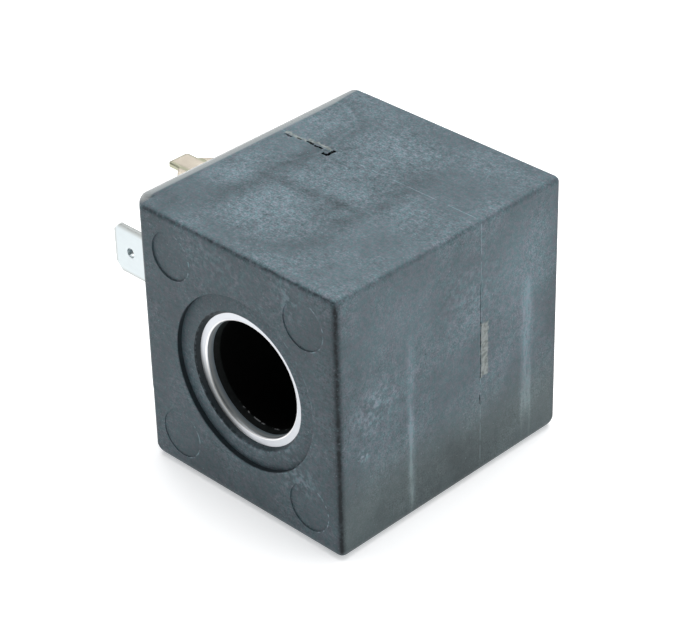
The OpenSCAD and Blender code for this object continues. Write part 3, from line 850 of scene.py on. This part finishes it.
def unsteady(place, spots_per_mm, reach):
    """A place that wanders off its spot by smooth noise, so that what follows it gets a ragged outline."""
    drift = add(place.id_data, "TexNoise", Vector=place, Scale=spots_per_mm, Detail=4.0).outputs["Color"]
    wander = vector("MULTIPLY", vector("SUBTRACT", drift, (0.5, 0.5, 0.5)), (reach, reach, reach))
    return vector("ADD", place, wander)


def patch(centre, reach, strength):
    """A soft patch, as its strength at each point."""
    share = vector("LENGTH", vector("DIVIDE", vector("SUBTRACT", drifted, centre), reach))
    return times(ease(share, 1.0, 0.1), strength)


def at_top(x, y):
    """A point on the top."""
    return x, y, top_mm


def at_right(y, z):
    """A point on the right side."""
    return right_mm, y, z


def at_front(x, z):
    """A point on the front face."""
    return x, front_mm, z


# Broad patches: paler lobes over the yoke and darker corners on the top, and on the right and front faces
# painted light and shade, lighter high up and darker low down and at the right face's ends
drifted = unsteady(place, 0.2, 2.4)
wear_and_shade_patches = (
    (at_top(-4.2, -9.8), (7.0, 7.5, 4), 0.14),
    (at_top(-2.5, 0.3), (7.5, 5.0, 4), 0.08),
    (at_top(-3.0, 9.5), (7.0, 5.5, 4), 0.08),
    (at_top(-14.5, 6.5), (6.5, 8.0, 4), 0.12),
    (at_top(-14.0, -5.0), (4.0, 6.0, 4), 0.1),
    (at_top(-12.5, -13.5), (6.0, 6.0, 4), -0.1),
    (at_top(0.0, 17.0), (20.0, 4.0, 4), -0.04),
    (at_right(-7.0, 9.5), (4, 8.0, 6.0), 0.1),
    (at_right(11.0, 8.0), (4, 8.0, 9.0), 0.26),
    (at_right(0.0, -15.0), (4, 20.0, 8.0), -0.16),
    (at_right(1.0, -11.5), (4, 3.4, 3.0), -0.12),
    (at_right(-17.5, 3.0), (4, 6.0, 18.0), -0.11),
    (at_right(17.0, -2.0), (4, 3.4, 18.0), -0.1),
    (at_front(-6.0, 14.0), (9.0, 4, 5.0), 0.08),
    (at_front(0.0, -15.0), (16.0, 4, 5.0), -0.08),
)
clouds = between(noise(place, 0.16, detail=5.0), 0.31, 0.68)
stains = times(ease(noise(place, 0.13, detail=2.0), 0.49, 0.53), 0.05)
haze_and_shade = plus(clouds, stains, *[patch(*one) for one in wear_and_shade_patches])

# Darker sink lines on the top, in millimetres: round the lobe over the yoke, across it, and in an arch round
# the earth terminal
lobe_centre = (-2.65, -0.35, 0)
lobe_half = (0.6, 8.8, 0)
lobe_r = 6.35
arch_centre = (-15.6, 5.0, 0)
arch_half = (6.7, 8.4, 1)
arch_r = 7.0

plan = vector("MULTIPLY", drifted, (1, 1, 0))
past_corner = vector("SUBTRACT", vector("ABSOLUTE", vector("SUBTRACT", plan, lobe_centre)), lobe_half)
to_lobe = compute("SUBTRACT", vector("LENGTH", vector("MAXIMUM", past_corner, (0, 0, 0))), lobe_r)
arch = vector("LENGTH", vector("DIVIDE", vector("SUBTRACT", plan, arch_centre), arch_half))
to_arch = times(compute("SUBTRACT", arch, 1.0), arch_r)
to_crossing = away(plus(axes["Y"], times(axes["X"], -0.08)), -3.2)
round_lobe = times(ease(away(to_lobe, 0.0), 2.4, 0.0), ease(away(axes["Y"], -2.0), 19.0, 3.0))
round_arch = times(ease(away(to_arch, 0.5), 1.6, 0.0), 0.6)
across_lobe = times(ease(to_crossing, 1.6, 0.0), ease(to_lobe, 0.3, -0.3))
sink = times(most(round_lobe, round_arch, across_lobe), on_top, between(noise(place, 0.3), 0.0, 0.62))

# Fine grain and glass fibres in the skin, which show most in rough spots and on the lobe
fibre_turns = (0.4, 1.5, 2.6)
fibre_stretch = (1.3, 6.5, 6.5)
grain = plus(times(noise(place, 5.0, detail=2.0), 0.65), times(noise(place, 1.3, detail=4.0), 0.35))


def fibres_along(turn):
    """Glass fibres that lie one way, as thin short streaks."""
    way = (turn, 1.3 * turn, 0.7 * turn)
    lie = add(place.id_data, "Mapping", Vector=place, Rotation=way, Scale=fibre_stretch)
    return ease(noise(lie.outputs["Vector"], 1.0, detail=1.0), 0.58, 0.75)


fibres = most(*[fibres_along(turn) for turn in fibre_turns])
rough_spots = times(ease(noise(place, 0.16), 0.4, 0.6), 0.75)
rough_zone = most(rough_spots, times(ease(to_lobe, 0.6, -2.0), on_top))
texture = times(plus(between(grain, -1.3, 1.2), times(fibres, 0.4)), between(rough_zone, 0.45, 1.15))


def streak(y, half, low, high, strength):
    """An upright rub on the right side that fades out at its ends."""
    run = times(ease(axes["Z"], low - 2.0, low + 2.0), ease(axes["Z"], high + 1.0, high - 3.0))
    return times(ease(away(axes["Y"], y), half, 0.0), run, on_side, strength)


# Rubbed streaks and flecked scuffs, painted highlights on the rims' right sides, and the pale line of the
# parting plane
streaks = plus(
    streak(-6.6, 1.0, -14.5, 7.5, 0.26),
    streak(-6.65, 0.5, -15.0, -2.0, 0.3),
    streak(12.1, 1.4, -12.0, 6.6, 0.44),
    streak(12.8, 0.35, -15.0, -6.0, 0.2),
    streak(11.5, 0.3, -15.0, -6.0, 0.16),
)
drawn_out = (1.0, 2.6, 0.5)
smear = noise(vector("MULTIPLY", place, drawn_out), 1.0, detail=5.0)
rubs = times(streaks, between(smear, -0.4, 2.2))
scuffs = plus(
    patch(at_right(-12.0, 0.5), (3, 6.5, 5.0), 0.34),
    patch(at_right(-13.9, -4.4), (2, 1.8, 1.4), 0.7),
    patch(at_right(3.0, 8.0), (3, 8.0, 8.0), 0.2),
    patch(at_front(7.4, 14.0), (3.0, 3, 5.0), 0.35),
    patch(at_front(8.0, -8.5), (5.0, 3, 4.0), 0.35),
    patch(at_front(-3.0, 13.5), (8.0, 3, 4.0), 0.2),
)
round_mouth = times(ease(away(off_axis, mouth_mm + 0.2), 0.6, 0.1), ease(gap_y, 1.0, 0.8))
chips = times(round_mouth, ease(axes["Z"], -2.0, -5.0), 0.3)
round_recess = times(ease(away(off_axis, recess_mm + 0.12), 0.16, 0.04), ease(gap_y, 0.14, 0.08))
recess_rim_highlight = times(round_recess, ease(axes["X"], 3.0, 7.0), 0.3)

# Each mark's rim gets a painted highlight on its right, so a point's place across its nearest mark is needed
# too
mark_span = (right_mm - left_mm) / 2 - inset_mm
in_corner = add(place.id_data, "CombineXYZ", X=gap_x, Y=gap_z).outputs["Vector"]
off_mark = vector("LENGTH", vector("SUBTRACT", in_corner, (inset_mm, inset_mm, 0)))
across_mark = compute("WRAP", compute("SUBTRACT", axes["X"], left_mm + inset_mm), mark_span, -mark_span)
round_mark = times(
    ease(away(off_mark, mark_r / mm + 0.06), 0.14, 0.04),
    ease(axes["Y"], front_mm + 0.08, front_mm + 0.03),
)
mark_rim_highlight = times(round_mark, ease(across_mark, 0.3, 2.0), 0.75)

flecks = ease(noise(place, 1.7, detail=6.0), 0.45, 0.62)
flecks_and_highlights = times(plus(scuffs, chips, recess_rim_highlight, mark_rim_highlight), flecks)
seam = times(ease(away(axes["Y"], parting_y / mm), 0.1, 0.03), ease(noise(place, 0.7), 0.4, 0.55), 0.38)
arch_line = times(ease(away(to_arch, 0.0), 0.3, 0.05), on_top, 0.1)
specks = times(ease(noise(place, 5.0, detail=1.0), 0.74, 0.8), 0.6)
worn = plus(rubs, flecks_and_highlights, seam, arch_line, specks)
nicks = times(ease(edge_gap, 0.5, 0.2), ease(noise(place, 2.2), 0.6, 0.7), off_boss, 0.25)

# Haze and wear together whiten the skin. Painted shade keeps the front and right faces darker, and a greener
# tint lies low on the right
front_right_shade = remaining(plus(times(on_front, 0.27), times(on_right, 0.1)))
veil = times(haze_and_shade, remaining(sink), plus(texture, 1.0), front_right_shade)
whiteness = plus(times(plus(veil, worn), outside_painted_shade), nicks)
haze_tint = mix(ease(noise(place, 2.6, detail=2.0), 0.35, 0.65), haze_green, haze_grey)
low_right = times(on_right, ease(axes["Z"], -3.0, -12.0), 0.8)
skin = mix(whiteness, moulded_black, mix(low_right, haze_tint, haze_olive))

# Where flash tore out of the parting line the plastic is pale and shredded, with painted shade between the
# shreds
pulls = (
    (at_right(5.12, 0.0), (0.3, 0.6, 3.5)),
    (at_top(-13.4, 4.36), (1.7, 0.22, 0.3)),
    (at_top(-9.9, 4.75), (1.9, 0.2, 0.3)),
)
jagged = unsteady(place, 1.4, 1.0)


def pulled(centre, half):
    """Where a box of torn skin lies, with a ragged outline."""
    over = axes_of(vector("SUBTRACT", vector("ABSOLUTE", vector("SUBTRACT", jagged, centre)), half))
    return ease(most(over["X"], over["Y"], over["Z"]), 0.12, -0.2)


torn = most(*[pulled(*pull) for pull in pulls])
shreds = noise(place, 2.0, detail=5.0)
shredded = mix(ease(shreds, 0.34, 0.58), shred_gap_shade, shred_light)

# Along the boss's upper edge a pale band is a painted reflection of the white table at a grazing angle; it is
# smoother there, and the band starts further out at the tapered end
boss_x = plus(axes["X"], times(ease(axes["Y"], rear_mm - 5.0, rear_mm - 1.0), 0.35))
on_boss_reflection = times(ease(boss_x, left_mm, left_mm - 0.45), ease(axes["Z"], top_mm - 2.1, top_mm - 0.7))
boss_reflection = mix(ease(boss_x, left_mm - 0.3, left_mm - 1.7), boss_reflection_inner, boss_reflection_outer)
boss_reflection = mix(times(grain, 0.35), boss_reflection, boss_grain)

feed(shader["Base Color"], mix(on_boss_reflection, mix(torn, skin, shredded), boss_reflection))
feed(shader["Roughness"], compute("SUBTRACT", between(whiteness, 0.45, 0.65), times(on_boss_reflection, 0.3)))
shader["Specular IOR Level"].default_value = 0.18
emboss(shader, plus(times(grain, 0.12), times(fibres, 0.05), times(torn, shreds, 0.25)), 0.1 * mm)

finish_piece("moulded_housing", housing, moulding, "moulding", "housing")


# The coil stands on a light table, a sheet of white acrylic that is lit from below and runs out past the
# picture on every side.
table_half = 1.5
table_glow = 0.4
acrylic_grey = (0.86, 0.86, 0.87, 1)
acrylic_white = (0.9, 0.9, 0.9, 1)

table_shape = bmesh.new()
bmesh.ops.create_grid(
    table_shape, x_segments=1, y_segments=1, size=table_half, matrix=Matrix.Translation((0, 0, body_lo.z))
)
table = as_object("light_table", table_shape)
acrylic, shader, place = new_finish("white_acrylic")
feed(shader["Base Color"], mix(noise(place, 0.05), acrylic_grey, acrylic_white))
shader["Roughness"].default_value = 0.9
shader["Specular IOR Level"].default_value = 0.1
shader["Emission Color"].default_value = (1, 1, 1, 1)
shader["Emission Strength"].default_value = table_glow
table.data.materials.append(acrylic)


# The studio light is a large soft box overhead and a little behind, a weaker one to each side, and an even
# dome. Each box has its place and width in metres and its power in watts.
dome_colour = (0.95, 0.98, 1.0, 1)
dome_strength = 0.3
soft_boxes = (
    ("overhead_box", (-0.1, 0.15, 0.6), 0.7, 5.8),
    ("right_box", (0.6, 0.25, 0.25), 0.5, 1.2),
    ("left_box", (-0.55, -0.35, 0.3), 0.5, 0.2),
)

dome = bpy.data.worlds.new("studio")
dome.use_nodes = True
background = dome.node_tree.nodes["Background"].inputs
background["Color"].default_value = dome_colour
background["Strength"].default_value = dome_strength
bpy.context.scene.world = dome
bpy.context.scene.view_settings.view_transform = "Standard"

for name, stand, width, power in soft_boxes:
    light = bpy.data.lights.new(name, "AREA")
    light.size = width
    light.energy = power
    lamp = bpy.data.objects.new(name, light)
    lamp.location = stand
    lamp.rotation_mode = "QUATERNION"
    lamp.rotation_quaternion = (-Vector(stand)).to_track_quat("-Z", "Y")
    bpy.context.scene.collection.objects.link(lamp)


# The camera looks down on the near corner through a long lens, as the photograph was taken. Its place and
# focal length were worked out from the body's edges in the picture.
stands_at = Vector((166.42, -166.35, 151.59)) * mm
looks_along = Vector((-0.6001, 0.5902, -0.5400)).normalized()
image_right = Vector((0.7117, 0.7021, -0.0236))
focal_px = 2515.8
image_w_px = 680
sensor_w = 36.0
nearest = 0.01

lens = bpy.data.cameras.new("camera")
lens.sensor_width = sensor_w
lens.lens = focal_px / image_w_px * sensor_w
lens.clip_start = nearest
camera = bpy.data.objects.new("camera", lens)
up = image_right.cross(looks_along).normalized()
turned = Matrix((looks_along.cross(up), up, -looks_along)).transposed()
camera.matrix_world = Matrix.Translation(stands_at) @ turned.to_4x4()
bpy.context.scene.collection.objects.link(camera)
bpy.context.scene.camera = camera
